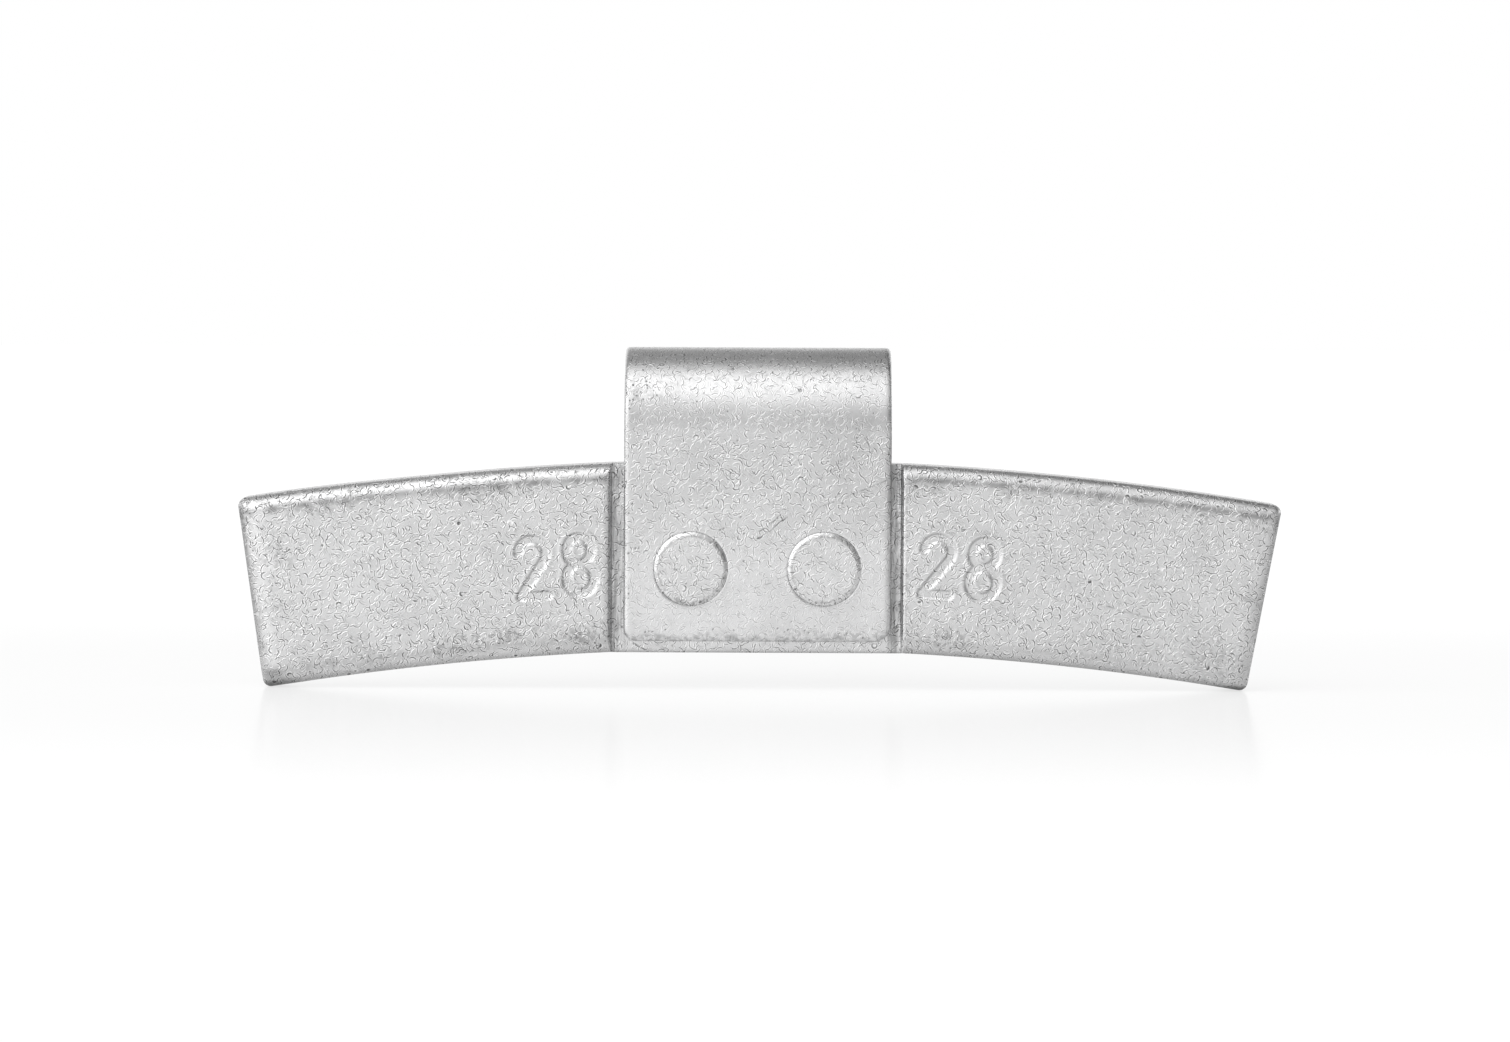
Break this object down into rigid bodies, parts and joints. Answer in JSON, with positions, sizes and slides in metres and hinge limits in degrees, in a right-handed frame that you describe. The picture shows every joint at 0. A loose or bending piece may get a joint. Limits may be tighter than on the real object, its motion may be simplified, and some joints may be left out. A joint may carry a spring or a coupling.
{
  "type": "wheel balance weight",
  "caption": "Arched steel clip-on balance weight for a car wheel, with a spring clip riveted into its middle that hooks over the rim flange.",
  "frame": {"origin": "middle of the slot between the bar's back and the clip's hook, level with the underside of the clip's bend", "axes": "+X along the bar, +Y from the visible front to the tyre side, +Z outwards on the wheel, towards the top of the clip"},
  "size_m": [0.067, 0.0108, 0.0219],
  "materials": {
    "bar_coating": "satin silver zinc flake coating on pressed steel, finely wrinkled",
    "clip_coating": "satin silver zinc flake coating on spring steel, finely wrinkled"
  },
  "bodies": {
    "root": {"weight_bar": "bar_coating", "spring_clip": "clip_coating"}
  },
  "joints": []
}
